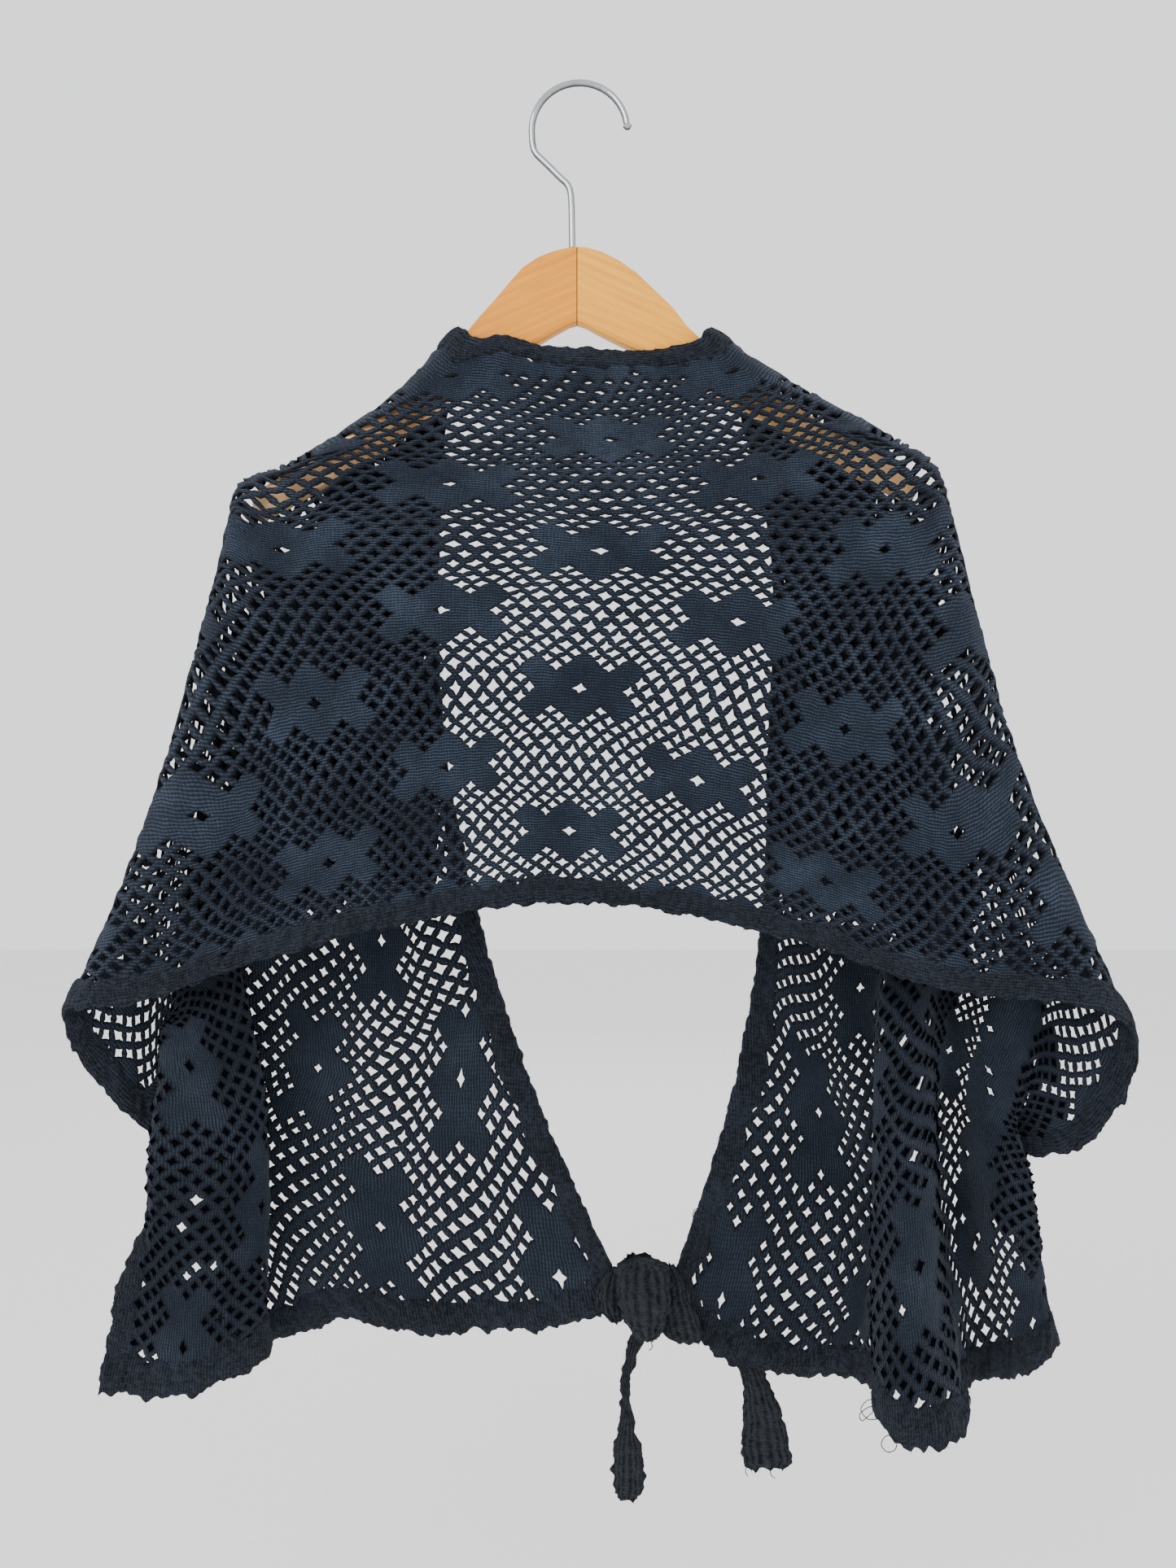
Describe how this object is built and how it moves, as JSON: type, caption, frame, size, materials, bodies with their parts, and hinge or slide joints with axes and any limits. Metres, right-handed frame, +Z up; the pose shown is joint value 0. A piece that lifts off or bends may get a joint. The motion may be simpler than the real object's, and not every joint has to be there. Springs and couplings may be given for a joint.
{
  "type": "lace shawl on a wooden hanger",
  "caption": "Dark knitted lace shawl with open net and flower motifs, folded over a wooden hanger with its two front corners tied in a knot.",
  "frame": {"origin": "the point under the top of the hook's wire, where a peg or rail holds it", "axes": "+X to the right in the picture, +Y towards the wall, +Z up; the camera looks along +Y at the back of the garment"},
  "size_m": [0.6285, 0.0773, 0.8564],
  "materials": {
    "lace": "matte knitted cotton net",
    "hem": "matte, doubled knit",
    "tie": "matte, doubled knit",
    "wood": "satin varnish",
    "wire": "polished"
  },
  "bodies": {
    "root": {"back_and_shoulders": "lace", "left_front": "lace", "right_front": "lace", "neck_hem": "hem", "back_hem": "hem", "left_front_edge": "hem", "right_front_edge": "hem", "left_side_hem": "hem", "right_side_hem": "hem", "left_end_hem": "hem", "right_end_hem": "hem", "knot": "tie", "left_tail": "tie", "right_tail": "tie", "hanger_left": "wood", "hanger_right": "wood", "hook": "wire"}
  },
  "joints": []
}
